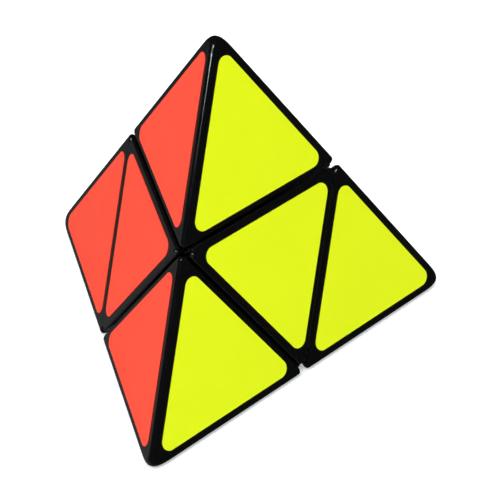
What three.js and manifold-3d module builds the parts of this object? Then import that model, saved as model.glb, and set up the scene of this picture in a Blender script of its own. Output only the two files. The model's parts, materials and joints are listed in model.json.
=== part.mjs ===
// A pyramid twisty puzzle: a regular tetrahedron cut by three planes through its
// centre, each square to the other two. The cuts leave four corner pieces with
// three coloured sides and four face pieces with one. Inside, a core with six
// screws holds six round centre caps, which hold twelve hidden edge pieces, which
// hold the feet of the eight outer pieces. Every sliding surface is a plane, a
// sphere or a cylinder about a turning axis.
//
// Units are millimetres. The pieces are modelled in turning axes: the origin is the
// puzzle's centre and x, y and z are the three axes of rotation. Each axis runs
// through the middles of two opposite edges of the tetrahedron. The group at the
// end stands the puzzle on its blue side, with +Z up.

import * as THREE from 'three';
import { ConvexGeometry } from 'three/addons/geometries/ConvexGeometry.js';
import { mergeVertices } from 'three/addons/utils/BufferGeometryUtils.js';
import Module from 'manifold-3d';

// The outside.
const EDGE = 95;                // edge of the sharp tetrahedron through the corner stickers
const CUT_GAP = 0.5;            // clear width of a cut between two outer pieces
const FACE_STEP = 0.4;          // how far the face pieces stand proud of the corners
const CUT_FILLET = 0.5;         // radius along the cut edges
const RIDGE_FILLET = 0.8;       // radius along the ridges and at the middles of the tips
const POINT_LENGTH = 4.8;       // stretch at the end of a ridge that rounds into its outer point
const WALL_FILLET = 1.4;        // radius between two walls that meet along a turning axis
const FILLET_STEPS = 3;         // flats in each edge fillet
const WALL_STEPS = 4;           // flats in each wall fillet
const POINT_STEPS = 6;          // flats across each third of an outer point
const TOUCHING = 1e-6;          // a ball this near a side touches it

// The stickers.
const STICKER_THICKNESS = 0.15;
const GLUE = 0.03;              // glue film under a sticker
const STICKER_RADIUS = 2.1;     // rounding of a sticker's corners
const RIDGE_MARGIN = 2.7;       // bare plastic between a corner sticker and a ridge
const CUT_MARGIN = 1.4;         // bare plastic between a corner sticker and the cut
const FACE_MARGIN = 2.35;       // bare plastic round a face piece's sticker

// The corner pieces are a hollow shell closed by a base with a locating rim.
const SHELL_WALL = 1.8;
const SEAM_DISTANCE = 18.2;     // seam plane's distance from the puzzle's centre
const SEAM_GAP = 0.15;
const RIM_HEIGHT = 1.6;
const RIM_CLEARANCE = 0.3;

// The mechanism: two layers of concentric shells inside a round cavity.
const RUNNING_GAP = 0.4;        // between any two sliding surfaces
const CAVITY_RADIUS = 16.3;     // round hollow in the outer pieces
const HIDDEN_RADIUS = CAVITY_RADIUS - RUNNING_GAP;
const FLOOR_RADIUS = 12.6;      // middle of the gap between blocks and feet
const FOOT_RADIUS = 9.3;        // inside of the feet
const BLOCK_PLANE = 5.9;        // cut planes between the blocks
const FOOT_PLANE = 3.6;         // cut planes between the feet
const NECK_ROOT = 17.2;         // how far out a neck runs into its outer piece
const BALL_SIDES = 24;

// The centre caps, their screws and springs, and the core.
const CAP_RADIUS = 5.6;
const STEM_RADIUS = 3.2;
const STEM_END = 6.8;           // distance of the stem's end from the centre
const SPRING_SEAT = 8.3;
const SPRING_BORE = 2.3;
const SCREW_HOLE = 1.25;
const SCREW_RADIUS = 1.0;
const SCREW_END = 3.4;
const SCREW_POINT = 0.5;        // height of the cone at the screw's end
const HEAD_RADIUS = 2.0;
const HEAD_SEAT = 12.8;
const HEAD_HEIGHT = 1.4;
const HEAD_RIM = 0.9;           // height of the head's straight rim
const HEAD_TOP = 1.4;           // radius of the flat on top of the head
const RECESS_DEPTH = 0.8;
const RECESS_WIDTH = 0.5;
const RECESS_LENGTH = 2.6;
const SPRING_RADIUS = 1.65;     // to the middle of the wire
const SPRING_WIRE = 0.25;       // radius of the wire
const SPRING_TURNS = 4;
const SPRING_STEPS = 8;         // straight stretches in one turn
const SPRING_CLEARANCE = 0.15;
const CORE_RADIUS = 5.0;
const ARM_RADIUS = 2.6;
const ARM_END = STEM_END - RUNNING_GAP;
const THREAD_HOLE = 1.15;
const THREAD_DEPTH = 3.2;       // distance of a hole's bottom from the centre

// How finely the round shapes are faceted.
const LATHE_SIDES = 16;
const SCREW_SIDES = 12;
const CAP_STEPS = 2;            // flats across a cap's curved faces
const WIRE_SEGMENTS = 2;
const ROUNDING_SEGMENTS = 2;    // of a sticker's corners

// Worked out from the sizes above.
const ROOT3 = Math.sqrt(3);
const INRADIUS = EDGE / (2 * Math.sqrt(6));
const HALF_GAP = CUT_GAP / 2;
const HALF_RUN = RUNNING_GAP / 2;
const CENTRE_HEIGHT = INRADIUS + FACE_STEP;
const CORNER_SKIN = INRADIUS - STICKER_THICKNESS - GLUE;
const FACE_SKIN = CORNER_SKIN + FACE_STEP;
const SIDE_INRADIUS = EDGE / 2 / (2 * ROOT3);
const BIG = 60;

const DIAGONAL = new THREE.Vector3(1, 1, 1).normalize();

const BLACK = { color: 0x09090a, roughness: 0.25, metalness: 0 };
const INNER_BLACK = { color: 0x161617, roughness: 0.4, metalness: 0 };
const CORE_GREY = { color: 0xb9bcc0, roughness: 0.45, metalness: 0 };
const STEEL = { color: 0x9a9da2, roughness: 0.3, metalness: 1 };
const STICKER_COLOURS = {
  yellow: { color: 0xe5f318, roughness: 0.4, metalness: 0 },
  red: { color: 0xfd4e37, roughness: 0.4, metalness: 0 },
  green: { color: 0x2fb344, roughness: 0.4, metalness: 0 },
  blue: { color: 0x1d4fc4, roughness: 0.4, metalness: 0 },
};

// The six ends of the turning axes, named by the ridge that each one meets.
const AXIS_ENDS = [
  { name: 'front', direction: [1, 0, 0] },
  { name: 'back', direction: [-1, 0, 0] },
  { name: 'upper_right', direction: [0, 1, 0] },
  { name: 'lower_left', direction: [0, -1, 0] },
  { name: 'upper_left', direction: [0, 0, 1] },
  { name: 'lower_right', direction: [0, 0, -1] },
];

// The eight outer pieces, named by where they stand; signs give the octant.
const CORNERS = [
  { name: 'top', signs: [1, 1, 1] },
  { name: 'front', signs: [1, -1, -1] },
  { name: 'right', signs: [-1, 1, -1] },
  { name: 'left', signs: [-1, -1, 1] },
];
const FACES = [
  { name: 'right', colour: 'yellow', signs: [1, 1, -1] },
  { name: 'left', colour: 'red', signs: [1, -1, 1] },
  { name: 'rear', colour: 'green', signs: [-1, 1, 1] },
  { name: 'bottom', colour: 'blue', signs: [-1, -1, -1] },
];

const wasm = await Module();
wasm.setup();

// ---- solids and geometries ----

function toSolid(geometry) {
  const bare = geometry.clone();
  bare.deleteAttribute('normal');
  bare.deleteAttribute('uv');
  const merged = mergeVertices(bare);
  return new wasm.Manifold(new wasm.Mesh({
    numProp: 3,
    vertProperties: Float32Array.from(merged.attributes.position.array),
    triVerts: Uint32Array.from(merged.index.array),
  }));
}

function toGeometry(solid) {
  const { vertProperties, triVerts } = solid.getMesh();
  const geometry = new THREE.BufferGeometry();
  geometry.setAttribute('position', new THREE.BufferAttribute(vertProperties, 3));
  geometry.setIndex(new THREE.BufferAttribute(triVerts, 1));
  geometry.computeVertexNormals();
  return geometry;
}

function box(low, high) {
  const size = high.map((value, i) => value - low[i]);
  const middle = high.map((value, i) => (value + low[i]) / 2);
  return toSolid(new THREE.BoxGeometry(...size).translate(...middle));
}

function ball(radius) {
  return toSolid(new THREE.SphereGeometry(radius, BALL_SIDES, BALL_SIDES / 2));
}

// Everything further than a distance from the centre along the octant's diagonal.
function beyond(distance) {
  const block = new THREE.BoxGeometry(2 * BIG, 2 * BIG, BIG).translate(0, 0, distance + BIG / 2);
  const turn = new THREE.Quaternion().setFromUnitVectors(new THREE.Vector3(0, 0, 1), DIAGONAL);
  return toSolid(block.applyQuaternion(turn));
}

// ---- rounded hulls of the outer pieces, in the octant where x, y and z are positive ----

// Points spread over the part of a ball between two or three face normals.
function ballPatch(centre, radius, normals, steps) {
  const [first, second, third = second] = normals;
  const points = [];
  for (let i = 0; i <= steps; i += 1) {
    for (let j = 0; j <= steps - i; j += 1) {
      const arm = first.clone().multiplyScalar(steps - i - j);
      arm.addScaledVector(second, i).addScaledVector(third, j);
      points.push(arm.setLength(radius).add(centre));
    }
  }
  return points;
}

// The tip on the x axis: small balls that touch the outer sides and follow the wide
// fillet between the two walls that meet along the axis. They swell from the cut
// edges to the middle of the tip.
function tipPoints(sides, skin, wall) {
  const points = [];
  const axisSide = wall + WALL_FILLET;
  for (let step = 0; step <= WALL_STEPS; step += 1) {
    const angle = (step / WALL_STEPS) * (Math.PI / 2);
    const radius = CUT_FILLET + (RIDGE_FILLET - CUT_FILLET) * Math.sin(2 * angle) ** 2;
    const outward = new THREE.Vector3(0, -Math.cos(angle), -Math.sin(angle));
    const centre = new THREE.Vector3(0, axisSide, axisSide);
    centre.addScaledVector(outward, WALL_FILLET - radius);
    const reaches = sides.map((normal) => (skin - radius - normal.dot(centre)) / normal.x);
    centre.x = Math.min(...reaches);
    const touched = sides.filter((_, i) => reaches[i] - centre.x < TOUCHING);
    points.push(...ballPatch(centre, radius, [...touched, outward], FILLET_STEPS));
  }
  return points;
}

// The third of an outer point that lies nearest one side. The balls in the three ridges
// stop short of the point, and here they blend: a surface point is mixed from the sides'
// normals, and draws back from the point along each ridge by the square of its share.
function pointPoints(skin) {
  const reach = ROOT3 * (skin - RIDGE_FILLET);
  const points = [];
  for (let j = 0; j <= 2 * POINT_STEPS; j += 1) {
    const turn = j / (2 * POINT_STEPS);
    for (let i = 0; i <= POINT_STEPS; i += 1) {
      const away = i / POINT_STEPS / (1 + Math.max(turn, 1 - turn));
      const weights = [1 - away, away * (1 - turn), away * turn];
      const shares = [away * turn * (1 - turn), (1 - away) * turn, (1 - away) * (1 - turn)];
      const whole = shares[0] + shares[1] + shares[2];
      const arm = new THREE.Vector3();
      const back = new THREE.Vector3();
      SIDE_NORMALS.forEach((normal, k) => {
        arm.addScaledVector(normal, weights[k]);
        back.addScaledVector(RIDGE_LINES[k], POINT_LENGTH * (shares[k] / whole) ** 2);
      });
      points.push(arm.setLength(RIDGE_FILLET).addScalar(reach).sub(back));
    }
  }
  return points;
}

// A piece has threefold symmetry about the diagonal, which swaps x, y and z round.
function threefold(points) {
  const once = points.map((p) => new THREE.Vector3(p.z, p.x, p.y));
  const twice = points.map((p) => new THREE.Vector3(p.y, p.z, p.x));
  return [...points, ...once, ...twice];
}

const WALL_NORMALS = [
  new THREE.Vector3(-1, 0, 0),
  new THREE.Vector3(0, -1, 0),
  new THREE.Vector3(0, 0, -1),
];
const SIDE_NORMALS = [
  new THREE.Vector3(1, 1, -1).normalize(),
  new THREE.Vector3(1, -1, 1).normalize(),
  new THREE.Vector3(-1, 1, 1).normalize(),
];

// Towards the outer point along each ridge, in the order of the side it doesn't touch.
const RIDGE_LINES = [
  new THREE.Vector3(1, 1, 0).normalize(),
  new THREE.Vector3(1, 0, 1).normalize(),
  new THREE.Vector3(0, 1, 1).normalize(),
];

// The inner end of a hull, where its three walls meet.
function innerPoints(wall) {
  const centre = new THREE.Vector3(1, 1, 1).multiplyScalar(wall + WALL_FILLET);
  return ballPatch(centre, WALL_FILLET, WALL_NORMALS, FILLET_STEPS);
}

// A corner piece: three outer sides at skin distance, three walls along the cuts.
function cornerHull(skin, wall) {
  const tips = threefold(tipPoints(SIDE_NORMALS.slice(0, 2), skin, wall));
  const point = threefold(pointPoints(skin));
  return toSolid(new ConvexGeometry([...tips, ...point, ...innerPoints(wall)]));
}

// A face piece: one outer side at skin distance, three walls along the cuts.
function faceHull(skin, wall) {
  const tips = threefold(tipPoints([DIAGONAL], skin, wall));
  return toSolid(new ConvexGeometry([...tips, ...innerPoints(wall)]));
}

// ---- the mechanism ----

const BLOCK_NEAR = BLOCK_PLANE + HALF_RUN;
const FOOT_NEAR = FOOT_PLANE + HALF_RUN;
const BLOCK_HALF = BLOCK_PLANE - HALF_RUN;
const FOOT_HALF = FOOT_PLANE - HALF_RUN;

const hiddenBall = ball(HIDDEN_RADIUS);
const footBall = ball(FLOOR_RADIUS - HALF_RUN);
const footHollow = ball(FOOT_RADIUS);
const blockShell = hiddenBall.subtract(ball(FLOOR_RADIUS + HALF_RUN));
const footShell = footBall.subtract(footHollow);

// The neck and hooked foot that hold an outer piece under the hidden edges.
function outerFoot() {
  const neck = ball(NECK_ROOT).intersect(box(Array(3).fill(BLOCK_NEAR), Array(3).fill(BIG)));
  const foot = footShell.intersect(box(Array(3).fill(FOOT_NEAR), Array(3).fill(BIG)));
  return neck.add(foot);
}

function outerPiece(hull) {
  return hull.subtract(ball(CAVITY_RADIUS)).add(outerFoot());
}

// A hidden edge between the +x and +y centre caps.
function hiddenEdge() {
  const block = blockShell.intersect(
    box([BLOCK_NEAR, BLOCK_NEAR, -BLOCK_HALF], [BIG, BIG, BLOCK_HALF]));
  const web = hiddenBall.subtract(footHollow).intersect(
    box([BLOCK_NEAR, BLOCK_NEAR, -FOOT_HALF], [BIG, BIG, FOOT_HALF]));
  const foot = footShell.intersect(
    box([FOOT_NEAR, FOOT_NEAR, -FOOT_HALF], [BIG, BIG, FOOT_HALF]));
  return toGeometry(block.add(web).add(foot));
}

function cornerShell() {
  const outside = cornerHull(CORNER_SKIN, HALF_GAP);
  const hollow = cornerHull(CORNER_SKIN - SHELL_WALL, HALF_GAP + SHELL_WALL);
  return toGeometry(outside.subtract(hollow).intersect(beyond(SEAM_DISTANCE)));
}

function cornerBase() {
  const seam = SEAM_DISTANCE - SEAM_GAP;
  const outside = cornerHull(CORNER_SKIN, HALF_GAP);
  const inset = SHELL_WALL + RIM_CLEARANCE;
  const plug = cornerHull(CORNER_SKIN - inset, HALF_GAP + inset);
  const rim = plug.intersect(beyond(seam - RIM_HEIGHT)).subtract(beyond(seam + RIM_HEIGHT));
  return toGeometry(outerPiece(outside.subtract(beyond(seam)).add(rim)));
}

function facePiece() {
  return toGeometry(outerPiece(faceHull(FACE_SKIN, HALF_GAP)));
}

// Points along an arc about the puzzle's centre, from one distance off the axis to another.
function sphereArc(radius, from, to, steps) {
  return Array.from({ length: steps + 1 }, (_, i) => {
    const off = from + ((to - from) * i) / steps;
    return new THREE.Vector2(off, Math.sqrt(radius * radius - off * off));
  });
}

// A round cap: a flange over the hidden edges' feet, and a stem bored for screw and spring.
function centreCap() {
  const underside = sphereArc(FLOOR_RADIUS + HALF_RUN, STEM_RADIUS, CAP_RADIUS, CAP_STEPS);
  const top = sphereArc(HIDDEN_RADIUS, CAP_RADIUS, SPRING_BORE, CAP_STEPS);
  const profile = [
    new THREE.Vector2(SCREW_HOLE, STEM_END),
    new THREE.Vector2(STEM_RADIUS, STEM_END),
    ...underside,
    ...top,
    new THREE.Vector2(SPRING_BORE, SPRING_SEAT),
    new THREE.Vector2(SCREW_HOLE, SPRING_SEAT),
    new THREE.Vector2(SCREW_HOLE, STEM_END),
  ];
  return new THREE.LatheGeometry(profile, LATHE_SIDES);
}

// A pan-head screw with a cross recess.
function screw() {
  const headTop = HEAD_SEAT + HEAD_HEIGHT;
  const profile = [
    new THREE.Vector2(0, SCREW_END),
    new THREE.Vector2(SCREW_RADIUS, SCREW_END + SCREW_POINT),
    new THREE.Vector2(SCREW_RADIUS, HEAD_SEAT),
    new THREE.Vector2(HEAD_RADIUS, HEAD_SEAT),
    new THREE.Vector2(HEAD_RADIUS, HEAD_SEAT + HEAD_RIM),
    new THREE.Vector2(HEAD_TOP, headTop),
    new THREE.Vector2(0, headTop),
  ];
  const blank = toSolid(new THREE.LatheGeometry(profile, SCREW_SIDES));
  const floor = headTop - RECESS_DEPTH;
  const long = RECESS_LENGTH / 2;
  const wide = RECESS_WIDTH / 2;
  const slot = box([-long, floor, -wide], [long, BIG, wide]);
  const crossSlot = box([-wide, floor, -long], [wide, BIG, long]);
  return toGeometry(blank.subtract(slot).subtract(crossSlot));
}

class Helix extends THREE.Curve {
  constructor(radius, low, high, turns) {
    super();
    Object.assign(this, { radius, low, high, turns });
  }

  getPoint(t, target = new THREE.Vector3()) {
    const angle = t * this.turns * 2 * Math.PI;
    const height = this.low + (this.high - this.low) * t;
    return target.set(this.radius * Math.cos(angle), height, this.radius * Math.sin(angle));
  }
}

// A compression spring between the cap's seat and the screw's head.
function spring() {
  const end = SPRING_CLEARANCE + SPRING_WIRE;
  const path = new Helix(SPRING_RADIUS, SPRING_SEAT + end, HEAD_SEAT - end, SPRING_TURNS);
  const wire = new THREE.Shape();
  wire.absarc(0, 0, SPRING_WIRE, 0, 2 * Math.PI);
  return new THREE.ExtrudeGeometry(wire, {
    steps: SPRING_TURNS * SPRING_STEPS,
    curveSegments: WIRE_SEGMENTS,
    extrudePath: path,
  });
}

// The core: a ball with six arms, each drilled for a screw.
function core() {
  const along = new THREE.Vector3(0, 1, 0);
  let body = toSolid(new THREE.SphereGeometry(CORE_RADIUS, LATHE_SIDES, LATHE_SIDES / 2));
  for (const { direction } of AXIS_ENDS) {
    const turn = new THREE.Quaternion().setFromUnitVectors(along, new THREE.Vector3(...direction));
    const arm = new THREE.CylinderGeometry(ARM_RADIUS, ARM_RADIUS, ARM_END, LATHE_SIDES);
    body = body.add(toSolid(arm.translate(0, ARM_END / 2, 0).applyQuaternion(turn)));
  }
  for (const { direction } of AXIS_ENDS) {
    const turn = new THREE.Quaternion().setFromUnitVectors(along, new THREE.Vector3(...direction));
    const hole = new THREE.CylinderGeometry(THREAD_HOLE, THREAD_HOLE, BIG, SCREW_SIDES);
    const drill = hole.translate(0, THREAD_DEPTH + BIG / 2, 0).applyQuaternion(turn);
    body = body.subtract(toSolid(drill));
  }
  return toGeometry(body);
}

// An equilateral triangle about the origin with round corners and one corner towards +x.
function stickerGeometry(inradius) {
  const shape = new THREE.Shape();
  const reach = 2 * (inradius - STICKER_RADIUS);
  for (let corner = 0; corner < 3; corner += 1) {
    const angle = (corner * 2 * Math.PI) / 3;
    const x = reach * Math.cos(angle);
    const y = reach * Math.sin(angle);
    shape.absarc(x, y, STICKER_RADIUS, angle - Math.PI / 3, angle + Math.PI / 3);
  }
  shape.closePath();
  return new THREE.ExtrudeGeometry(shape, {
    depth: STICKER_THICKNESS,
    bevelEnabled: false,
    curveSegments: ROUNDING_SEGMENTS,
  });
}

// ---- placing the pieces ----

// Turns the all-positive octant onto another one; where that would mirror it, y and z swap.
function octantTurn([x, y, z]) {
  const basis = new THREE.Matrix4();
  const xAxis = new THREE.Vector3(x, 0, 0);
  const yAxis = new THREE.Vector3(0, y, 0);
  const zAxis = new THREE.Vector3(0, 0, z);
  if (x * y * z > 0) basis.makeBasis(xAxis, yAxis, zAxis);
  else basis.makeBasis(xAxis, zAxis, yAxis);
  return new THREE.Quaternion().setFromRotationMatrix(basis);
}

function makePart(name, geometry, finish) {
  const mesh = new THREE.Mesh(geometry, new THREE.MeshStandardMaterial(finish));
  mesh.name = name;
  return mesh;
}

// The mechanism's screws, springs and caps stand along their axis ends.
function axisParts() {
  const shapes = [
    { name: 'centre_cap', geometry: centreCap(), finish: INNER_BLACK },
    { name: 'screw', geometry: screw(), finish: STEEL },
    { name: 'spring', geometry: spring(), finish: STEEL },
  ];
  const along = new THREE.Vector3(0, 1, 0);
  return AXIS_ENDS.flatMap((end) => shapes.map(({ name, geometry, finish }) => {
    const mesh = makePart(`${name}_${end.name}`, geometry, finish);
    mesh.quaternion.setFromUnitVectors(along, new THREE.Vector3(...end.direction));
    return mesh;
  }));
}

function isSquareTo(a, b) {
  return new THREE.Vector3(...a.direction).dot(new THREE.Vector3(...b.direction)) === 0;
}

// One hidden edge lies between each two axis ends that are square to each other.
function hiddenEdges() {
  const geometry = hiddenEdge();
  return AXIS_ENDS.flatMap((first, i) => {
    const partners = AXIS_ENDS.slice(i + 1).filter((second) => isSquareTo(first, second));
    return partners.map((second) => {
      const mesh = makePart(`hidden_edge_${first.name}_${second.name}`, geometry, INNER_BLACK);
      const xAxis = new THREE.Vector3(...first.direction);
      const yAxis = new THREE.Vector3(...second.direction);
      const zAxis = new THREE.Vector3().crossVectors(xAxis, yAxis);
      mesh.quaternion.setFromRotationMatrix(new THREE.Matrix4().makeBasis(xAxis, yAxis, zAxis));
      return mesh;
    });
  });
}

function outerParts() {
  const shapes = [
    { name: 'corner_shell', geometry: cornerShell(), finish: BLACK, list: CORNERS },
    { name: 'corner_base', geometry: cornerBase(), finish: BLACK, list: CORNERS },
    { name: 'face_piece', geometry: facePiece(), finish: BLACK, list: FACES },
  ];
  return shapes.flatMap(({ name, geometry, finish, list }) => list.map((item) => {
    const mesh = makePart(`${name}_${item.name}`, geometry, finish);
    mesh.quaternion.copy(octantTurn(item.signs));
    return mesh;
  }));
}

// Lays a sticker on a side, with its first corner pointing along a given direction.
function layOn(mesh, normal, pointing, height, shift) {
  const across = new THREE.Vector3().crossVectors(normal, pointing);
  mesh.quaternion.setFromRotationMatrix(new THREE.Matrix4().makeBasis(pointing, across, normal));
  mesh.position.copy(normal).multiplyScalar(height).addScaledVector(pointing, shift);
}

function stickers() {
  const cornerInradius = SIDE_INRADIUS - (CUT_MARGIN + 2 * RIDGE_MARGIN) / 3;
  const cornerShift = 2 * SIDE_INRADIUS + (2 / 3) * (CUT_MARGIN - RIDGE_MARGIN);
  const cornerShape = stickerGeometry(cornerInradius);
  const faceShape = stickerGeometry(SIDE_INRADIUS - FACE_MARGIN);
  return FACES.flatMap((face) => {
    const signs = new THREE.Vector3(...face.signs);
    const normal = signs.clone().normalize();
    const onFace = CORNERS.filter((corner) => signs.dot(new THREE.Vector3(...corner.signs)) === 1);
    const pointingTo = (corner) => {
      const outward = new THREE.Vector3(...corner.signs);
      return outward.addScaledVector(normal, -outward.dot(normal)).normalize();
    };
    const finish = STICKER_COLOURS[face.colour];
    const middle = makePart(`sticker_${face.colour}_centre`, faceShape, finish);
    layOn(middle, normal, pointingTo(onFace[0]).negate(), FACE_SKIN + GLUE, 0);
    const outer = onFace.map((corner) => {
      const mesh = makePart(`sticker_${face.colour}_${corner.name}`, cornerShape, finish);
      layOn(mesh, normal, pointingTo(corner), CORNER_SKIN + GLUE, cornerShift);
      return mesh;
    });
    return [middle, ...outer];
  });
}

// ---- the puzzle, tilted from its turning axes to stand on its blue side ----

const puzzle = new THREE.Group();
const turningAxes = new THREE.Group();
turningAxes.quaternion.setFromRotationMatrix(new THREE.Matrix4().makeBasis(
  new THREE.Vector3(0, -Math.sqrt(2 / 3), 1 / ROOT3),
  new THREE.Vector3(Math.SQRT1_2, 1 / Math.sqrt(6), 1 / ROOT3),
  new THREE.Vector3(-Math.SQRT1_2, 1 / Math.sqrt(6), 1 / ROOT3),
));
turningAxes.position.z = CENTRE_HEIGHT;
turningAxes.add(makePart('core', core(), CORE_GREY));
turningAxes.add(...axisParts(), ...hiddenEdges(), ...outerParts(), ...stickers());
puzzle.add(turningAxes);

export default puzzle;
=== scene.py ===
# Looks of a pyramid twisty puzzle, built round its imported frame.
#
# The puzzle is a regular tetrahedron cut by three planes through its centre: four
# corner pieces with three coloured sides and four face pieces with one. Inside are a
# core, six sprung screws, six centre caps and twelve hidden edge pieces.
#
# Units are metres. Pieces are modelled in turning axes: the origin is the puzzle's
# centre and x, y and z are its three axes of rotation, which the frame's joints give.
# An outer piece is modelled in the octant where x, y and z are positive.

import json
import math

import bmesh
import bpy
from mathutils import Matrix, Vector

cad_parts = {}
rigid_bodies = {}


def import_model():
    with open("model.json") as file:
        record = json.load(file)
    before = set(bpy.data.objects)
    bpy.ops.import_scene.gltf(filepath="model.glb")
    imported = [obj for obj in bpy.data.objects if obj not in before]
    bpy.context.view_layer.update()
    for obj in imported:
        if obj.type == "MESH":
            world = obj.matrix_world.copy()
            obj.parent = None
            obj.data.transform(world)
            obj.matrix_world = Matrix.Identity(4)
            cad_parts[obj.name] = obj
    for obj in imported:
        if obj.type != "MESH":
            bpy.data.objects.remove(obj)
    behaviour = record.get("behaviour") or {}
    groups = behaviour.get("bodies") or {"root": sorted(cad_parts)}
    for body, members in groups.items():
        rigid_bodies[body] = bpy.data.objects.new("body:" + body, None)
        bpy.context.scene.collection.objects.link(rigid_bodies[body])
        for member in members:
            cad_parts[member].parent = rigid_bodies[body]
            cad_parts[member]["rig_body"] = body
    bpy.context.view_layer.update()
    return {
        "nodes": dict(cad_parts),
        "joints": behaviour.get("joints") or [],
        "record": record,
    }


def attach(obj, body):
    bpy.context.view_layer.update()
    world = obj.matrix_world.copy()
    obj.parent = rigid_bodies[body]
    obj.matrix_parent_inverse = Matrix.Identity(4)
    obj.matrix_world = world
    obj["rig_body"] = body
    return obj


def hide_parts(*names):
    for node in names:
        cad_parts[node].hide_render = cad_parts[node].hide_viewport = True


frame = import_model()

# ---- sizes, the same as the frame's ----

CUT_GAP = 0.0005
FACE_STEP = 0.0004
CUT_FILLET = 0.0005
RIDGE_FILLET = 0.0008
POINT_LENGTH = 0.0048
WALL_FILLET = 0.0014
STICKER_THICKNESS = 0.00015
GLUE = 0.00003
STICKER_RADIUS = 0.0021
RIDGE_MARGIN = 0.0027
CUT_MARGIN = 0.0014
FACE_MARGIN = 0.00235
SHELL_WALL = 0.0018
SEAM_DISTANCE = 0.0182
SEAM_GAP = 0.00015
RIM_HEIGHT = 0.0016
RIM_CLEARANCE = 0.0003
RUNNING_GAP = 0.0004
CAVITY_RADIUS = 0.0163
HIDDEN_RADIUS = CAVITY_RADIUS - RUNNING_GAP
FLOOR_RADIUS = 0.0126
FOOT_RADIUS = 0.0093
BLOCK_PLANE = 0.0059
FOOT_PLANE = 0.0036
NECK_ROOT = 0.0172
CAP_RADIUS = 0.0056
STEM_RADIUS = 0.0032
STEM_END = 0.0068
SPRING_SEAT = 0.0083
SPRING_BORE = 0.0023
SCREW_HOLE = 0.00125
SCREW_RADIUS = 0.0010
SCREW_END = 0.0034
SCREW_POINT = 0.0005
HEAD_RADIUS = 0.0020
HEAD_SEAT = 0.0128
HEAD_HEIGHT = 0.0014
RECESS_DEPTH = 0.0008
RECESS_WIDTH = 0.0005
RECESS_LENGTH = 0.0026
SPRING_RADIUS = 0.00165
SPRING_WIRE = 0.00025
SPRING_TURNS = 4
SPRING_CLEARANCE = 0.00015
CORE_RADIUS = 0.0050
ARM_RADIUS = 0.0026
ARM_END = STEM_END - RUNNING_GAP
THREAD_HOLE = 0.00115
THREAD_DEPTH = 0.0032

# Fine detail that the frame leaves out.
STICKER_BEVEL = 0.00004         # round on a sticker's top edge
MOULD_ROUND = 0.00012           # round on the mechanism's edges
HEAD_ROUND = 0.0006             # round of a screw's pan head
THREAD_PITCH = 0.0005
THREAD_HEIGHT = 0.00009
THREAD_TOP = 0.0082             # distance of the thread's upper end from the centre

# How finely the round shapes are divided.
FILLET_STEPS = 12               # an even number
WALL_STEPS = 16
INNER_STEPS = 4
BALL_DIVISIONS = 5
ROUND_SIDES = 64
ARC_STEPS = 8
STICKER_STEPS = 20
BEVEL_STEPS = 4
TURN_STEPS = 40
WIRE_SIDES = 16
THREAD_STEPS = 8
THREAD_SIDES = 32

SHARP_ANGLE = math.radians(30)
SAME_PLACE = 1e-7
FAR = 0.06

# ---- the turning axes, from the frame's joints ----

JOINTS = {joint["name"]: joint for joint in frame["joints"]}
CENTRE = Vector(JOINTS["front_half_turn"]["pos_m"])
X_AXIS = Vector(JOINTS["front_half_turn"]["axis"])
Y_AXIS = Vector(JOINTS["upper_right_cap_spin"]["axis"])
Z_AXIS = Vector(JOINTS["upper_left_cap_spin"]["axis"])
TURNING = Matrix.Translation(CENTRE) @ Matrix((X_AXIS, Y_AXIS, Z_AXIS)).transposed().to_4x4()

INRADIUS = CENTRE.z - FACE_STEP
EDGE = INRADIUS * 2 * math.sqrt(6)
SIDE_INRADIUS = EDGE / (4 * math.sqrt(3))
HALF_GAP = CUT_GAP / 2
HALF_RUN = RUNNING_GAP / 2
CORNER_SKIN = INRADIUS - STICKER_THICKNESS - GLUE
FACE_SKIN = CORNER_SKIN + FACE_STEP
BLOCK_NEAR = BLOCK_PLANE + HALF_RUN
FOOT_NEAR = FOOT_PLANE + HALF_RUN
BLOCK_HALF = BLOCK_PLANE - HALF_RUN
FOOT_HALF = FOOT_PLANE - HALF_RUN

AXIS_ENDS = {
    "front": Vector((1, 0, 0)),
    "back": Vector((-1, 0, 0)),
    "upper_right": Vector((0, 1, 0)),
    "lower_left": Vector((0, -1, 0)),
    "upper_left": Vector((0, 0, 1)),
    "lower_right": Vector((0, 0, -1)),
}
CORNERS = {
    "top": Vector((1, 1, 1)),
    "front": Vector((1, -1, -1)),
    "right": Vector((-1, 1, -1)),
    "left": Vector((-1, -1, 1)),
}
FACES = {
    "right": Vector((1, 1, -1)),
    "left": Vector((1, -1, 1)),
    "rear": Vector((-1, 1, 1)),
    "bottom": Vector((-1, -1, -1)),
}
FACE_COLOURS = {"right": "yellow", "left": "red", "rear": "green", "bottom": "blue"}

DIAGONAL = Vector((1, 1, 1)).normalized()
WALLS = [Vector((-1, 0, 0)), Vector((0, -1, 0)), Vector((0, 0, -1))]
SIDES = [
    Vector((-1, 1, 1)).normalized(),
    Vector((1, -1, 1)).normalized(),
    Vector((1, 1, -1)).normalized(),
]
RIDGE_LINES = [
    Vector((0, 1, 1)).normalized(),
    Vector((1, 0, 1)).normalized(),
    Vector((1, 1, 0)).normalized(),
]


# ---- mesh helpers ----

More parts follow.
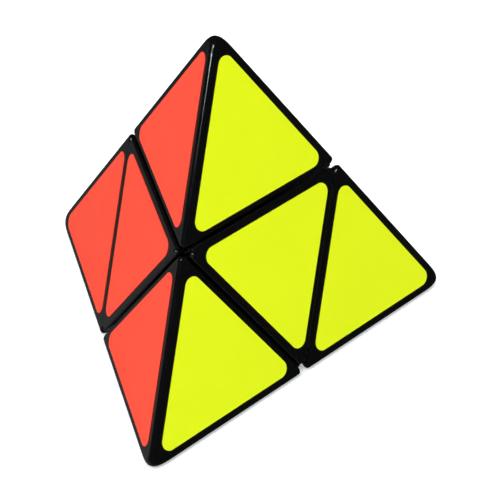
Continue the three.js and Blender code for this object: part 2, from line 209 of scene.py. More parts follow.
class Skin:
    """Collects strips, patches and flats, then welds them into one closed mesh."""

    def __init__(self):
        self.points = []
        self.faces = []

    def flat(self, outline):
        start = len(self.points)
        self.points.extend(outline)
        self.faces.append(list(range(start, len(self.points))))

    def rows(self, rows):
        """Quads between each two neighbouring rows of points."""
        for lower, upper in zip(rows, rows[1:]):
            for i in range(len(lower) - 1):
                self.flat([lower[i], lower[i + 1], upper[i + 1], upper[i]])

    def patch(self, rows):
        """Triangles over rows of points that shorten by one each time."""
        for lower, upper in zip(rows, rows[1:]):
            for i in range(len(upper)):
                self.flat([lower[i], lower[i + 1], upper[i]])
                if i:
                    self.flat([upper[i - 1], lower[i], upper[i]])

    def threefold(self):
        """Adds the copies about the diagonal, which swaps x, y and z round."""
        points, faces = list(self.points), list(self.faces)
        for turn in (lambda p: Vector((p.z, p.x, p.y)), lambda p: Vector((p.y, p.z, p.x))):
            start = len(self.points)
            self.points.extend(turn(p) for p in points)
            self.faces.extend([start + i for i in face] for face in faces)

    def mesh(self, name):
        mesh = bpy.data.meshes.new(name)
        mesh.from_pydata(self.points, [], self.faces)
        return cleaned(mesh)


def cleaned(mesh):
    """Welds a mesh, drops what has no size and turns its faces outwards."""
    bm = bmesh.new()
    bm.from_mesh(mesh)
    bmesh.ops.remove_doubles(bm, verts=bm.verts, dist=SAME_PLACE)
    bmesh.ops.dissolve_degenerate(bm, dist=SAME_PLACE, edges=bm.edges)
    bmesh.ops.recalc_face_normals(bm, faces=bm.faces)
    bm.to_mesh(mesh)
    bm.free()
    return mesh


def with_modifier(mesh, kind, **settings):
    """A new mesh: the old one with one modifier applied."""
    thing = bpy.data.objects.new(mesh.name, mesh)
    bpy.context.scene.collection.objects.link(thing)
    modifier = thing.modifiers.new(kind.lower(), kind)
    for name, value in settings.items():
        setattr(modifier, name, value)
    evaluated = thing.evaluated_get(bpy.context.evaluated_depsgraph_get())
    result = bpy.data.meshes.new_from_object(evaluated)
    result.name = mesh.name
    bpy.data.objects.remove(thing)
    return result


def combined(mesh, tool, operation):
    """A boolean of two meshes."""
    thing = bpy.data.objects.new("tool", tool)
    bpy.context.scene.collection.objects.link(thing)
    result = with_modifier(mesh, "BOOLEAN", object=thing, operation=operation, solver="EXACT")
    bpy.data.objects.remove(thing)
    return cleaned(result)


def cut(mesh, tool):
    return combined(mesh, tool, "DIFFERENCE")


def join(mesh, tool):
    return combined(mesh, tool, "UNION")


def common(mesh, tool):
    return combined(mesh, tool, "INTERSECT")


def softened(mesh, radius):
    """Rounds the sharp edges that a mould rounds."""
    return cleaned(with_modifier(
        mesh, "BEVEL", width=radius, segments=2, limit_method="ANGLE",
        angle_limit=SHARP_ANGLE, use_clamp_overlap=True))


def smooth(mesh):
    """Smooth shading over the fillets, with the large flats kept flat."""
    mesh.shade_smooth()
    mesh.set_sharp_from_angle(angle=SHARP_ANGLE)
    return with_modifier(mesh, "WEIGHTED_NORMAL", keep_sharp=True, weight=100)


def ball(radius):
    bm = bmesh.new()
    bmesh.ops.create_icosphere(bm, subdivisions=BALL_DIVISIONS, radius=radius)
    mesh = bpy.data.meshes.new("ball")
    bm.to_mesh(mesh)
    bm.free()
    return mesh


BOX_FACES = (
    (0, 1, 3, 2), (4, 6, 7, 5),
    (0, 4, 5, 1), (2, 3, 7, 6),
    (0, 2, 6, 4), (1, 5, 7, 3),
)


def box(low, high):
    corners = [Vector((x, y, z)) for x in (low[0], high[0]) for y in (low[1], high[1])
               for z in (low[2], high[2])]
    skin = Skin()
    for face in BOX_FACES:
        skin.flat([corners[i] for i in face])
    return skin.mesh("box")


def beyond(distance):
    """Everything further than a distance from the centre along the octant's diagonal."""
    mesh = box((-FAR, -FAR, distance), (FAR, FAR, FAR))
    mesh.transform(Vector((0, 0, 1)).rotation_difference(DIAGONAL).to_matrix().to_4x4())
    return mesh


def lathe(name, profile, sides=ROUND_SIDES):
    """A body of revolution about +y from points (distance off the axis, height)."""
    skin = Skin()
    rows = []
    for side in range(sides + 1):
        angle = 2 * math.pi * side / sides
        rows.append([Vector((r * math.cos(angle), h, r * math.sin(angle))) for r, h in profile])
    skin.rows(rows)
    return skin.mesh(name)


# ---- rounded hulls of the outer pieces ----

def arc(first, second, steps):
    """Unit vectors from one direction to another."""
    return [(first * (steps - i) + second * i).normalized() for i in range(steps + 1)]


def ball_arc(centre, radius, first, second, steps):
    return [centre + arm * radius for arm in arc(first, second, steps)]


def ball_patch(centre, radius, normals, steps):
    """Rows of points over the part of a ball between three directions."""
    first, second, third = normals
    rows = []
    for i in range(steps + 1):
        arms = [first * (steps - i - j) + second * j + third * i for j in range(steps + 1 - i)]
        rows.append([centre + arm.normalized() * radius for arm in arms])
    return rows


class Hull:
    """A corner or face piece without its foot. Small balls roll round each tip, where
    two walls meet, and touch the outer sides at skin distance. They swell from the cut
    edges to the middle of the tip, where a corner piece's ridge begins."""

    def __init__(self, is_corner, skin, wall, fine):
        self.is_corner = is_corner
        self.skin_distance = skin
        self.sides = SIDES[1:] if is_corner else [DIAGONAL]
        self.side = wall + WALL_FILLET
        self.wall_steps = WALL_STEPS if fine else INNER_STEPS
        self.steps = FILLET_STEPS if fine else INNER_STEPS
        self.outwards = arc(WALLS[1], WALLS[2], self.wall_steps)
        self.radii = [self.tip_radius(outward) for outward in self.outwards]
        self.centres = [self.tip_centre(*pair) for pair in zip(self.outwards, self.radii)]

    @staticmethod
    def tip_radius(outward):
        swell = (2 * outward.y * outward.z) ** 2
        return CUT_FILLET + (RIDGE_FILLET - CUT_FILLET) * swell

    def tip_centre(self, outward, radius):
        """Where a small ball stands as it rolls round the x axis."""
        centre = Vector((0, self.side, self.side)) + outward * (WALL_FILLET - radius)
        centre.x = min((self.skin_distance - radius - side.dot(centre)) / side.x
                       for side in self.sides)
        return centre

    def touching(self, side):
        """Where each ball of the tip touches an outer side."""
        return [centre + side * radius for centre, radius in zip(self.centres, self.radii)]

    def tip_arc(self, step, first, second):
        return ball_arc(self.centres[step], self.radii[step], first, second, self.steps)

    def nose(self, skin):
        """The tip's fillet, between the wall fillet and the outer sides."""
        for step in range(self.wall_steps):
            side = self.sides[0] if 2 * step < self.wall_steps else self.sides[-1]
            skin.rows([self.tip_arc(i, side, self.outwards[i]) for i in (step, step + 1)])

    def cut_edge(self, skin):
        """The fillet along the cut between the tips on the x and y axes."""
        near = self.tip_arc(-1, self.sides[-1], WALLS[2])
        far = [self.on_y(p) for p in self.tip_arc(0, self.sides[0], WALLS[1])]
        skin.rows([near, far])

    @staticmethod
    def on_y(p):
        """A point of the tip on the x axis, carried to the tip on the y axis."""
        return Vector((p.z, p.x, p.y))

    def walls(self, skin):
        """A flat wall, and the fillet between two walls along the x axis."""
        inner_centre = Vector((self.side, self.side, self.side))
        inner = ball_arc(inner_centre, WALL_FILLET, WALLS[1], WALLS[2], self.wall_steps)
        outer = [centre + outward * radius for centre, outward, radius
                 in zip(self.centres, self.outwards, self.radii)]
        skin.rows([inner, outer])
        skin.flat([inner[-1], outer[-1], self.on_y(outer[0])])

    def ridge_end(self):
        """Where the ball that rolls along the x axis's ridge stops, near the outer point."""
        reach = math.sqrt(3) * (self.skin_distance - RIDGE_FILLET)
        return Vector((reach, reach, reach)) - RIDGE_LINES[0] * POINT_LENGTH

    def ridges_and_sides(self, skin):
        """The ridge along the x axis, and the flat outer side beside it."""
        half = self.wall_steps // 2
        low, high = self.sides
        end = self.ridge_end()
        skin.rows([self.tip_arc(half, low, high),
                   ball_arc(end, RIDGE_FILLET, low, high, self.steps)])
        corner = [low, high, self.outwards[half]]
        skin.patch(ball_patch(self.centres[half], RIDGE_FILLET, corner, self.steps))
        near = self.touching(high)[half:]
        far = [self.on_y(p) for p in self.touching(low)[:half + 1]]
        skin.flat(near + far + [self.point_at(0, j, 2) for j in range(self.steps + 1)])

    def point_at(self, i, j, side):
        """A point of the outer point's third nearest one side: i steps away from the side,
        j steps round from its first ridge to its second. The balls in the ridges stop
        short and blend: the normal is mixed from the sides' normals, and the ball draws
        back along each ridge by the square of its share."""
        turn = j / self.steps
        away = 2 * i / self.steps / (1 + max(turn, 1 - turn))
        weights = [1 - away, away * (1 - turn), away * turn]
        shares = [away * turn * (1 - turn), (1 - away) * turn, (1 - away) * (1 - turn)]
        reach = math.sqrt(3) * (self.skin_distance - RIDGE_FILLET)
        centre, arm = Vector((reach, reach, reach)), Vector()
        for k in range(3):
            around = (side + k) % 3
            arm += SIDES[around] * weights[k]
            centre -= RIDGE_LINES[around] * (POINT_LENGTH * (shares[k] / sum(shares)) ** 2)
        return centre + arm.normalized() * RIDGE_FILLET

    def point(self, skin):
        """The third of the rounded outer point that is nearest one side."""
        skin.rows([[self.point_at(i, j, 2) for j in range(self.steps + 1)]
                   for i in range(self.steps // 2 + 1)])

    def mesh(self, name):
        skin = Skin()
        self.nose(skin)
        self.cut_edge(skin)
        self.walls(skin)
        if self.is_corner:
            self.ridges_and_sides(skin)
            self.point(skin)
        skin.threefold()
        inner_centre = Vector((self.side, self.side, self.side))
        skin.patch(ball_patch(inner_centre, WALL_FILLET, WALLS, self.wall_steps))
        if not self.is_corner:
            tip = self.touching(DIAGONAL)
            on_y = [self.on_y(p) for p in tip]
            skin.flat(tip + on_y + [self.on_y(p) for p in on_y])
        return skin.mesh(name)


def corner_hull(skin, wall, fine=True):
    return Hull(True, skin, wall, fine).mesh("corner_hull")


def face_hull(skin, wall):
    return Hull(False, skin, wall, True).mesh("face_hull")


# ---- the outer pieces and the mechanism ----

def layer(inside, outside, low, high):
    """The part of a box between two radii from the puzzle's centre."""
    return cut(common(ball(outside), box(low, high)), ball(inside))


def outer_foot():
    """The neck and hooked foot that hold an outer piece under the hidden edges."""
    neck = common(ball(NECK_ROOT), box([BLOCK_NEAR] * 3, [FAR] * 3))
    foot = layer(FOOT_RADIUS, FLOOR_RADIUS - HALF_RUN, [FOOT_NEAR] * 3, [FAR] * 3)
    return softened(join(neck, foot), MOULD_ROUND)


def outer_piece(hull):
    return smooth(join(cut(hull, ball(CAVITY_RADIUS)), outer_foot()))


def corner_shell():
    hollow = corner_hull(CORNER_SKIN - SHELL_WALL, HALF_GAP + SHELL_WALL, fine=False)
    shell = common(corner_hull(CORNER_SKIN, HALF_GAP), beyond(SEAM_DISTANCE))
    return smooth(cut(shell, hollow))


def corner_base():
    seam = SEAM_DISTANCE - SEAM_GAP
    inset = SHELL_WALL + RIM_CLEARANCE
    plug = corner_hull(CORNER_SKIN - inset, HALF_GAP + inset, fine=False)
    rim = cut(common(plug, beyond(seam - RIM_HEIGHT)), beyond(seam + RIM_HEIGHT))
    base = cut(corner_hull(CORNER_SKIN, HALF_GAP), beyond(seam))
    return outer_piece(join(base, rim))


def face_piece():
    return outer_piece(face_hull(FACE_SKIN, HALF_GAP))


def hidden_edge():
    """A hidden edge between the +x and +y centre caps."""
    block = layer(FLOOR_RADIUS + HALF_RUN, HIDDEN_RADIUS,
                  (BLOCK_NEAR, BLOCK_NEAR, -BLOCK_HALF), (FAR, FAR, BLOCK_HALF))
    web = layer(FOOT_RADIUS, HIDDEN_RADIUS,
                (BLOCK_NEAR, BLOCK_NEAR, -FOOT_HALF), (FAR, FAR, FOOT_HALF))
    foot = layer(FOOT_RADIUS, FLOOR_RADIUS - HALF_RUN,
                 (FOOT_NEAR, FOOT_NEAR, -FOOT_HALF), (FAR, FAR, FOOT_HALF))
    return smooth(softened(join(join(block, web), foot), MOULD_ROUND))


def sphere_arc(radius, start, end):
    """Profile points about the puzzle's centre, from one distance off the axis to another."""
    offs = [start + (end - start) * i / ARC_STEPS for i in range(ARC_STEPS + 1)]
    return [(off, math.sqrt(radius * radius - off * off)) for off in offs]


def centre_cap():
    """A round cap: a flange over the hidden edges' feet, and a bored stem."""
    profile = [
        (SCREW_HOLE, STEM_END),
        (STEM_RADIUS, STEM_END),
        *sphere_arc(FLOOR_RADIUS + HALF_RUN, STEM_RADIUS, CAP_RADIUS),
        *sphere_arc(HIDDEN_RADIUS, CAP_RADIUS, SPRING_BORE),
        (SPRING_BORE, SPRING_SEAT),
        (SCREW_HOLE, SPRING_SEAT),
        (SCREW_HOLE, STEM_END),
    ]
    return smooth(softened(lathe("centre_cap", profile), MOULD_ROUND))


def quarter_turn(steps):
    """Angles from 0 to 90 degrees."""
    return [math.pi / 2 * i / steps for i in range(steps + 1)]


def screw_profile(turn):
    """Points (distance off the axis, height) at a share of a full turn round the screw."""
    start = SCREW_END + SCREW_POINT
    count = round((THREAD_TOP - start) / THREAD_PITCH * THREAD_STEPS)
    profile = [(0, SCREW_END)]
    for i in range(count + 1):
        height = start + THREAD_PITCH * i / THREAD_STEPS
        phase = (height / THREAD_PITCH - turn) % 1
        profile.append((SCREW_RADIUS - THREAD_HEIGHT * abs(2 * phase - 1), height))
    profile.append((SCREW_RADIUS, THREAD_TOP + THREAD_PITCH))
    profile.append((SCREW_RADIUS, HEAD_SEAT))
    profile.append((HEAD_RADIUS, HEAD_SEAT))
    head_top = HEAD_SEAT + HEAD_HEIGHT
    for angle in quarter_turn(ARC_STEPS):
        off = HEAD_RADIUS - HEAD_ROUND * (1 - math.cos(angle))
        profile.append((off, head_top - HEAD_ROUND * (1 - math.sin(angle))))
    profile.append((0, head_top))
    return profile


def screw_blank():
    """A screw before its recess is cut: a threaded shank under a pan head."""
    rows = []
    for side in range(THREAD_SIDES + 1):
        turn = side / THREAD_SIDES
        angle = 2 * math.pi * turn
        rows.append([Vector((r * math.cos(angle), h, r * math.sin(angle)))
                     for r, h in screw_profile(turn)])
    skin = Skin()
    skin.rows(rows)
    return skin.mesh("screw")


def screw():
    floor = HEAD_SEAT + HEAD_HEIGHT - RECESS_DEPTH
    long, wide = RECESS_LENGTH / 2, RECESS_WIDTH / 2
    recess = join(box((-long, floor, -wide), (long, FAR, wide)),
                  box((-wide, floor, -long), (wide, FAR, long)))
    return smooth(cut(screw_blank(), recess))


def spring():
    """A compression spring whose end turns lie flat against the seat and the head."""
    end = SPRING_CLEARANCE + SPRING_WIRE
    low, high = SPRING_SEAT + end, HEAD_SEAT - end
    steps = SPRING_TURNS * TURN_STEPS
    around = [2 * math.pi * i / WIRE_SIDES for i in range(WIRE_SIDES + 1)]
    rows = []
    for step in range(steps + 1):
        t = step / steps
        angle = 2 * math.pi * SPRING_TURNS * t
        height = low + (high - low) * t * t * (3 - 2 * t)
        out = Vector((math.cos(angle), 0, math.sin(angle)))
        centre = out * SPRING_RADIUS + Vector((0, height, 0))
        rows.append([centre + SPRING_WIRE * (out * math.cos(a) + Vector((0, math.sin(a), 0)))
                     for a in around])
    skin = Skin()
    skin.rows(rows)
    skin.flat(rows[0][:-1])
    skin.flat(rows[-1][:-1])
    return smooth(skin.mesh("spring"))


def towards(way):
    """Turns +y towards a direction."""
    return Vector((0, 1, 0)).rotation_difference(way).to_matrix().to_4x4()


def core():
    """A ball with six arms, each drilled for a screw."""
    body = ball(CORE_RADIUS)
    arm = lathe("arm", [(0, 0), (ARM_RADIUS, 0), (ARM_RADIUS, ARM_END), (0, ARM_END)])
    drill = lathe("drill", [(0, THREAD_DEPTH), (THREAD_HOLE, THREAD_DEPTH),
                            (THREAD_HOLE, FAR), (0, FAR)])
    for tool, work in ((arm, join), (drill, cut)):
        for way in AXIS_ENDS.values():
            turned = tool.copy()
            turned.transform(towards(way))
            body = work(body, turned)
    return smooth(softened(body, MOULD_ROUND))


def triangle_outline(inradius, radius):
    """A rounded equilateral triangle about the origin, one corner towards +x."""
    reach = 2 * (inradius - STICKER_RADIUS)
    outline = []
    for corner in range(3):
        middle = corner * 2 * math.pi / 3
        centre = Vector((reach * math.cos(middle), reach * math.sin(middle), 0))
        for step in range(STICKER_STEPS + 1):
            angle = middle + math.pi / 3 * (2 * step / STICKER_STEPS - 1)
            outline.append(centre + Vector((math.cos(angle), math.sin(angle), 0)) * radius)
    return outline


def sticker(inradius):
    """A thin plate; its cut sides take the second material."""
    levels = [(STICKER_RADIUS, 0.0)]
    levels += [(STICKER_RADIUS - STICKER_BEVEL * (1 - math.cos(a)),
                STICKER_THICKNESS - STICKER_BEVEL * (1 - math.sin(a)))
               for a in quarter_turn(BEVEL_STEPS)]
    rows = []
    for radius, height in levels:
        outline = [p + Vector((0, 0, height)) for p in triangle_outline(inradius, radius)]
        rows.append(outline + outline[:1])
    skin = Skin()
    skin.rows(rows)
    skin.flat(rows[0][:-1])
    skin.flat(rows[-1][:-1])
    mesh = skin.mesh("sticker")
    for face in mesh.polygons:
        face.material_index = 0 if face.normal.z > math.cos(SHARP_ANGLE) else 1
    return smooth(mesh)


# ---- materials: scales count features in a metre, lengths are in metres ----

SPECULAR = "Specular IOR Level"
NOISE_SPREAD = (0.3, 0.7)       # where most values of a noise lie

WEAR_RADIUS = 0.0004
WEAR_SAMPLES = 4
WORN_EDGE_DOT = 0.8             # cosine of a rounded normal's turn on a fully worn edge
SMUDGE_SCALE = 120
GRAIN_SCALE = 3000
GRAIN_HEIGHT = 0.00001
GRAIN_STRENGTH = 0.12
HAIRLINE_STRETCH = (5200, 300, 900)
HAIRLINE_START, HAIRLINE_FULL = 0.68, 0.72
HAIRLINE_HEIGHT = 0.000004
HAIRLINE_STRENGTH = 0.3
HAIRLINE_ROUGHNESS = 0.06

CLOUD_SCALE = 70
CLOUD_SHARE = 0.25
PEEL_SCALE = 1500
PEEL_HEIGHT = 0.00001
PEEL_STRENGTH = 0.15
SPECK_SCALE = 130
SPECK_EDGE, SPECK_CORE = 0.035, 0.015
SPECK_SHARE = 0.35
VINYL_GLOSS = 0.05
MOTTLING = 0.94                 # a film's darker patches, as a share of its colour

DRAWN_STRETCH = (9000, 9000, 600)
DRAWN_HEIGHT = 0.000004
DRAWN_STRENGTH = 0.3
STAIN_SCALE = 700
STAIN_SHADE = 0.7

PLASTIC_GLOSS = 0.5
WORN_BLACK = (0.008, 0.008, 0.0085, 1)
WORN_INNER = (0.03, 0.03, 0.03, 1)
WORN_GREY = (0.6, 0.61, 0.63, 1)
BLACK_ROUGHNESS = (0.08, 0.14)
INNER_ROUGHNESS = (0.3, 0.45)
GREY_ROUGHNESS = (0.35, 0.5)
STEEL_ROUGHNESS = (0.2, 0.38)
FILM_ROUGHNESS = (0.32, 0.45)
CUT_SIDE_ROUGHNESS = (0.5, 0.6)
CUT_SIDE_PALE = (0.4, 0.48)     # how far a sticker's cut sides go towards white


def new_material(name):
    """A material with its tree and its shader node."""
    material = bpy.data.materials.new(name)
    material.use_nodes = True
    tree = material.node_tree
    return material, tree, tree.nodes["Principled BSDF"]


def add(tree, kind, inputs=None, **settings):
    """A node with its settings, its input values and its links."""
    node = tree.nodes.new(kind)
    for name, value in settings.items():
        setattr(node, name, value)
    for name, value in (inputs or {}).items():
        if isinstance(value, bpy.types.NodeSocket):
            tree.links.new(value, node.inputs[name])
        else:
            node.inputs[name].default_value = value
    return node


def place_on_piece(tree, scale=(1, 1, 1)):
    """The piece's own coordinates, stretched along its axes."""
    where = add(tree, "ShaderNodeTexCoord").outputs["Object"]
    return add(tree, "ShaderNodeMapping", {"Vector": where, "Scale": scale}).outputs["Vector"]


def noise(tree, where, scale, detail=2.0):
    """Noise between 0 and 1; scale counts its features in a metre."""
    return add(tree, "ShaderNodeTexNoise",
               {"Vector": where, "Scale": scale, "Detail": detail}).outputs["Fac"]


def mapped(tree, value, start, end, low, high):
    """A value moved from one range to another, and kept inside it."""
    inputs = {"Value": value, "From Min": start, "From Max": end, "To Min": low, "To Max": high}
    return add(tree, "ShaderNodeMapRange", inputs).outputs["Result"]


def maths(tree, operation, *values):
    node = add(tree, "ShaderNodeMath", dict(enumerate(values)), operation=operation)
    return node.outputs["Value"]


def mixed(tree, share, first, second):
    """One colour into another."""
    node = add(tree, "ShaderNodeMix", {"Factor": share}, data_type="RGBA")
    for socket, value in (("A_Color", first), ("B_Color", second)):
        target = next(s for s in node.inputs if s.identifier == socket)
        if isinstance(value, bpy.types.NodeSocket):
            tree.links.new(value, target)
        else:
            target.default_value = value
    return next(s for s in node.outputs if s.identifier == "Result_Color")


def bumped(tree, height, distance, strength, normal=None):
    inputs = {"Height": height, "Distance": distance, "Strength": strength}
    if normal:
        inputs["Normal"] = normal
    return add(tree, "ShaderNodeBump", inputs).outputs["Normal"]


def edge_wear(tree, radius):
    """About 1 on sharp edges and 0 on flats, from how far a rounded normal turns."""
    bevel = add(tree, "ShaderNodeBevel", {"Radius": radius}, samples=WEAR_SAMPLES)
    rounded = bevel.outputs["Normal"]
    true = add(tree, "ShaderNodeNewGeometry").outputs["Normal"]
    dot = add(tree, "ShaderNodeVectorMath", {0: rounded, 1: true}, operation="DOT_PRODUCT")
    return mapped(tree, dot.outputs["Value"], 1.0, WORN_EDGE_DOT, 0.0, 1.0)


def plastic(name, colour, worn, roughness):
    """Moulded plastic: smudges, a fine moulded grain, hairlines and rubbed edges."""
    material, tree, shader = new_material(name)
    where = place_on_piece(tree)
    smudges = noise(tree, where, SMUDGE_SCALE, 4)
    grain = noise(tree, where, GRAIN_SCALE)
    hairlines = noise(tree, place_on_piece(tree, HAIRLINE_STRETCH), 1, 1)
    hairline = mapped(tree, hairlines, HAIRLINE_START, HAIRLINE_FULL, 0.0, 1.0)
    patchy = mapped(tree, smudges, 0.4, 0.65, 0.0, 1.0)
    wear = maths(tree, "MULTIPLY", edge_wear(tree, WEAR_RADIUS), patchy)
    smudged = mapped(tree, smudges, *NOISE_SPREAD, *roughness)
    scuffed = maths(tree, "MULTIPLY_ADD", hairline, HAIRLINE_ROUGHNESS, smudged)
    tree.links.new(scuffed, shader.inputs["Roughness"])
    tree.links.new(mixed(tree, wear, colour, worn), shader.inputs["Base Color"])
    grained = bumped(tree, grain, GRAIN_HEIGHT, GRAIN_STRENGTH)
    scratched = bumped(tree, hairline, HAIRLINE_HEIGHT, HAIRLINE_STRENGTH, grained)
    tree.links.new(scratched, shader.inputs["Normal"])
    shader.inputs[SPECULAR].default_value = PLASTIC_GLOSS
    return material


def vinyl(name, colour, mottled, roughness):
    """Printed vinyl film: faint mottling, a soft orange-peel surface and a few specks."""
    material, tree, shader = new_material(name)
    where = place_on_piece(tree)
    clouds = noise(tree, where, CLOUD_SCALE, 3)
    peel = noise(tree, where, PEEL_SCALE)
    cells = add(tree, "ShaderNodeTexVoronoi", {"Vector": where, "Scale": SPECK_SCALE})
    speck = mapped(tree, cells.outputs["Distance"], SPECK_EDGE, SPECK_CORE, 0.0, SPECK_SHARE)
    cloud = mapped(tree, clouds, 0.35, 0.65, 0.0, CLOUD_SHARE)
    share = maths(tree, "MAXIMUM", cloud, speck)
    tree.links.new(mixed(tree, share, colour, mottled), shader.inputs["Base Color"])
    tree.links.new(mapped(tree, clouds, *NOISE_SPREAD, *roughness), shader.inputs["Roughness"])
    tree.links.new(bumped(tree, peel, PEEL_HEIGHT, PEEL_STRENGTH), shader.inputs["Normal"])
    shader.inputs[SPECULAR].default_value = VINYL_GLOSS
    return material


def metal(name, colour, roughness):
    """Drawn steel: fine lines along the surface and a slight stain."""
    material, tree, shader = new_material(name)
    lines = noise(tree, place_on_piece(tree, DRAWN_STRETCH), 1, 3)
    stains = noise(tree, place_on_piece(tree), STAIN_SCALE, 3)
    tree.links.new(mapped(tree, lines, *NOISE_SPREAD, *roughness), shader.inputs["Roughness"])
    stained = mixed(tree, stains, colour, darkened(colour, STAIN_SHADE))
    tree.links.new(stained, shader.inputs["Base Color"])
    tree.links.new(bumped(tree, lines, DRAWN_HEIGHT, DRAWN_STRENGTH), shader.inputs["Normal"])
    shader.inputs["Metallic"].default_value = 1
    return material


def recorded(slot):
    """The record's colour of a material slot, as a shader colour."""
    found = next(m for m in frame["record"]["materials"] if m["slot"] == slot)
    return (*found["base_color"][:3], 1)


def towards_white(colour, share):
    return tuple(c + (1 - c) * share for c in colour[:3]) + (1,)


def darkened(colour, share):
    return tuple(share * c for c in colour[:3]) + (1,)


def make_materials():
    """Each record slot's materials, in the order of a piece's material slots."""
    materials = {
        "black_plastic": [
            plastic("gloss_black", recorded("black_plastic"), WORN_BLACK, BLACK_ROUGHNESS)],
        "mechanism_plastic": [
            plastic("satin_black", recorded("mechanism_plastic"), WORN_INNER, INNER_ROUGHNESS)],
        "core_plastic": [
            plastic("satin_grey", recorded("core_plastic"), WORN_GREY, GREY_ROUGHNESS)],
        "steel": [metal("drawn_steel", recorded("steel"), STEEL_ROUGHNESS)],
    }
    for colour in FACE_COLOURS.values():
        slot = "sticker_" + colour
        base = recorded(slot)
        film = vinyl("vinyl_" + colour, base, darkened(base, MOTTLING), FILM_ROUGHNESS)
        pale, paler = (towards_white(base, share) for share in CUT_SIDE_PALE)
        side = vinyl("vinyl_side_" + colour, pale, paler, CUT_SIDE_ROUGHNESS)
        materials[slot] = [film, side]
    return materials


# ---- placing the pieces ----

MATERIALS = make_materials()


def place(node, mesh, local, slot):
    """Puts a copy of a mesh where a CAD node is, and lets it stand for that node."""
    shape = mesh.copy()
    shape.transform(TURNING @ local)
    shape.materials.clear()
    for material in MATERIALS[slot]:
        shape.materials.append(material)
    piece = bpy.data.objects.new("fine_" + node, shape)
    bpy.context.scene.collection.objects.link(piece)
    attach(piece, frame["nodes"][node]["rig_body"])
    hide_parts(node)


def basis(x, y, z):
    return Matrix((x, y, z)).transposed().to_4x4()


def octant_turn(signs):
    """Turns the all-positive octant onto another; where that would mirror it, y and z swap."""
    x, y, z = (Vector(axis) for axis in ((signs.x, 0, 0), (0, signs.y, 0), (0, 0, signs.z)))
    return basis(x, y, z) if signs.x * signs.y * signs.z > 0 else basis(x, z, y)


def place_outer_pieces():
    for name, make, where in (("corner_shell", corner_shell, CORNERS),
                              ("corner_base", corner_base, CORNERS),
                              ("face_piece", face_piece, FACES)):
        mesh = make()
        for end, signs in where.items():
            place(f"{name}_{end}", mesh, octant_turn(signs), "black_plastic")


def place_axis_pieces():
    for name, make, slot in (("centre_cap", centre_cap, "mechanism_plastic"),
                             ("screw", screw, "steel"),
                             ("spring", spring, "steel")):
        mesh = make()
        for end, way in AXIS_ENDS.items():
            place(f"{name}_{end}", mesh, towards(way), slot)


def place_hidden_edges():
    mesh = hidden_edge()
    ends = list(AXIS_ENDS.items())
    for i, (first, x) in enumerate(ends):
        for second, y in ends[i + 1:]:
            if x.dot(y) != 0:
                continue
            turn = basis(x, y, x.cross(y))
            place(f"hidden_edge_{first}_{second}", mesh, turn, "mechanism_plastic")


def on_side(normal, pointing, height, shift):
    """Lays a sticker on a side, its first corner pointing along a given direction."""
    turn = basis(pointing, normal.cross(pointing), normal)
    return Matrix.Translation(normal * height + pointing * shift) @ turn


def place_stickers():
    corner_mesh = sticker(SIDE_INRADIUS - (CUT_MARGIN + 2 * RIDGE_MARGIN) / 3)
    face_mesh = sticker(SIDE_INRADIUS - FACE_MARGIN)
    shift = 2 * SIDE_INRADIUS + (CUT_MARGIN - RIDGE_MARGIN) * 2 / 3
    for face, signs in FACES.items():
        slot = "sticker_" + FACE_COLOURS[face]
        normal = signs.normalized()
        for corner, corner_signs in CORNERS.items():
            if corner_signs.dot(signs) != 1:
                continue
            pointing = (corner_signs - normal * corner_signs.dot(normal)).normalized()
            lie = on_side(normal, pointing, CORNER_SKIN + GLUE, shift)
            place(f"{slot}_{corner}", corner_mesh, lie, slot)
        # The middle triangle is turned over, so it points away from a corner.
        lie = on_side(normal, -pointing, FACE_SKIN + GLUE, 0)
        place(f"{slot}_centre", face_mesh, lie, slot)


# ---- camera, floor and light ----

VIEW_AZIMUTH = math.radians(14.93)
VIEW_ELEVATION = math.radians(36.88)
VIEW_DISTANCE = 0.4673
LENS = 152.8
AIM = CENTRE + Vector((0.00684, 0.00184, 0.00003))

FLOOR_HALF = 3.0
FLOOR_GLOW = 0.4
FLOOR_ROUGHNESS = 0.9
PAPER_SCALE = 40
PAPER_DARK = (0.93, 0.93, 0.93, 1)
PAPER_LIGHT = (0.96, 0.96, 0.96, 1)
WHITE = (1, 1, 1)
COOL = (0.86, 0.96, 1.0)
TABLE_DIRECTION = (-0.35, 0.0, -0.94)
TABLE_EDGE, TABLE_FULL = 0.48, 0.72     # cosines of the angle from that direction
TABLE_LIGHT = 0.2
ROOM_LIGHT = 0.02
GLOSS_DISTANCE = 0.75
SOFT_DISTANCE = 1.0
REAR_DISTANCE = 1.1


def bearing(azimuth, elevation):
    """A unit vector; azimuth 0 is the front, -y, and 90 degrees is the right, +x."""
    flat = math.cos(elevation)
    return Vector((math.sin(azimuth) * flat, -math.cos(azimuth) * flat, math.sin(elevation)))


def add_camera():
    camera = bpy.data.objects.new("camera", bpy.data.cameras.new("camera"))
    camera.data.lens = LENS
    back = bearing(VIEW_AZIMUTH, VIEW_ELEVATION)
    camera.location = AIM + back * VIEW_DISTANCE
    camera.rotation_euler = back.to_track_quat("Z", "Y").to_euler()
    bpy.context.scene.collection.objects.link(camera)
    bpy.context.scene.camera = camera


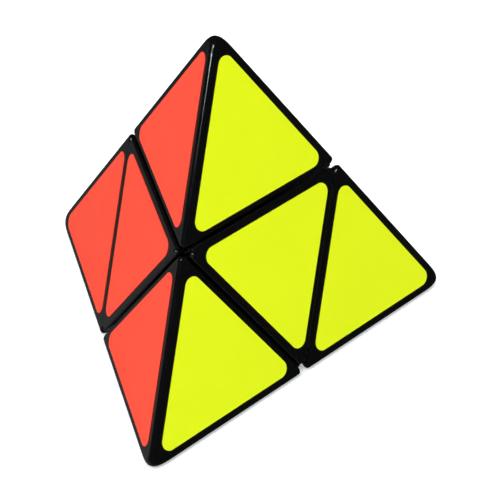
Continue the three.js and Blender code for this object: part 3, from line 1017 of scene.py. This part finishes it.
def add_floor():
    """A white table, large enough to fill the view. It glows a little, so shadows stay
    pale, and it keeps out of the gloss of the black plastic."""
    skin = Skin()
    corners = ((-1, -1), (1, -1), (1, 1), (-1, 1))
    skin.flat([Vector((x, y, 0)) * FLOOR_HALF for x, y in corners])
    floor = bpy.data.objects.new("floor", skin.mesh("floor"))
    bpy.context.scene.collection.objects.link(floor)
    material, tree, shader = new_material("pale_floor")
    paper = noise(tree, place_on_piece(tree), PAPER_SCALE, 3)
    tint = mixed(tree, paper, PAPER_DARK, PAPER_LIGHT)
    tree.links.new(tint, shader.inputs["Base Color"])
    shader.inputs["Roughness"].default_value = FLOOR_ROUGHNESS
    shader.inputs[SPECULAR].default_value = 0
    shader.inputs["Emission Color"].default_value = (*WHITE, 1)
    shader.inputs["Emission Strength"].default_value = FLOOR_GLOW
    floor.data.materials.append(material)
    floor.visible_glossy = False


def add_softbox(name, azimuth, elevation, distance, size, power, mirrored=False):
    """A soft light that faces the puzzle. Only a mirrored one shows in the gloss."""
    light = bpy.data.lights.new(name, "AREA")
    light.shape = "RECTANGLE"
    light.size, light.size_y = size
    light.energy = power
    light.color = COOL if mirrored else WHITE
    thing = bpy.data.objects.new(name, light)
    back = bearing(math.radians(azimuth), math.radians(elevation))
    thing.location = CENTRE + back * distance
    thing.rotation_euler = back.to_track_quat("Z", "Y").to_euler()
    thing.visible_camera = False
    thing.visible_glossy = mirrored
    bpy.context.scene.collection.objects.link(thing)


def add_room():
    """A dark room, and grey light from the table low on the left."""
    world = bpy.data.worlds.new("room")
    world.use_nodes = True
    tree = world.node_tree
    background = tree.nodes["Background"]
    where = add(tree, "ShaderNodeTexCoord").outputs["Generated"]
    low = add(tree, "ShaderNodeVectorMath", {0: where, 1: TABLE_DIRECTION},
              operation="DOT_PRODUCT").outputs["Value"]
    strength = mapped(tree, low, TABLE_EDGE, TABLE_FULL, ROOM_LIGHT, TABLE_LIGHT)
    tree.links.new(strength, background.inputs["Strength"])
    background.inputs["Color"].default_value = (*WHITE, 1)
    bpy.context.scene.world = world


def add_light():
    """Angles are in degrees, sizes in metres and powers in watts."""
    for name, azimuth, elevation, size, power in (
            ("key", -16, 50.5, (0.5, 0.3), 1.3),
            ("strip", -16, 42, (0.3, 0.05), 1.2),
            ("lamp", 6, 57, (0.09, 0.09), 1.1)):
        add_softbox(name, azimuth, elevation, GLOSS_DISTANCE, size, power, mirrored=True)
    for name, azimuth, elevation, distance, size, power in (
            ("overhead", 0, 89, SOFT_DISTANCE, (0.9, 0.9), 3.3),
            ("right", 72, 38, SOFT_DISTANCE, (0.7, 0.5), 2.3),
            ("left", -80, 32, SOFT_DISTANCE, (0.7, 0.5), 2.3),
            ("rear", 180, 40, REAR_DISTANCE, (0.9, 0.5), 3.5)):
        add_softbox(name, azimuth, elevation, distance, size, power)
    add_room()


add_camera()
place_outer_pieces()
place_axis_pieces()
place_hidden_edges()
place("core", core(), Matrix.Identity(4), "core_plastic")
place_stickers()
add_floor()
add_light()
bpy.context.scene.view_settings.view_transform = "Standard"
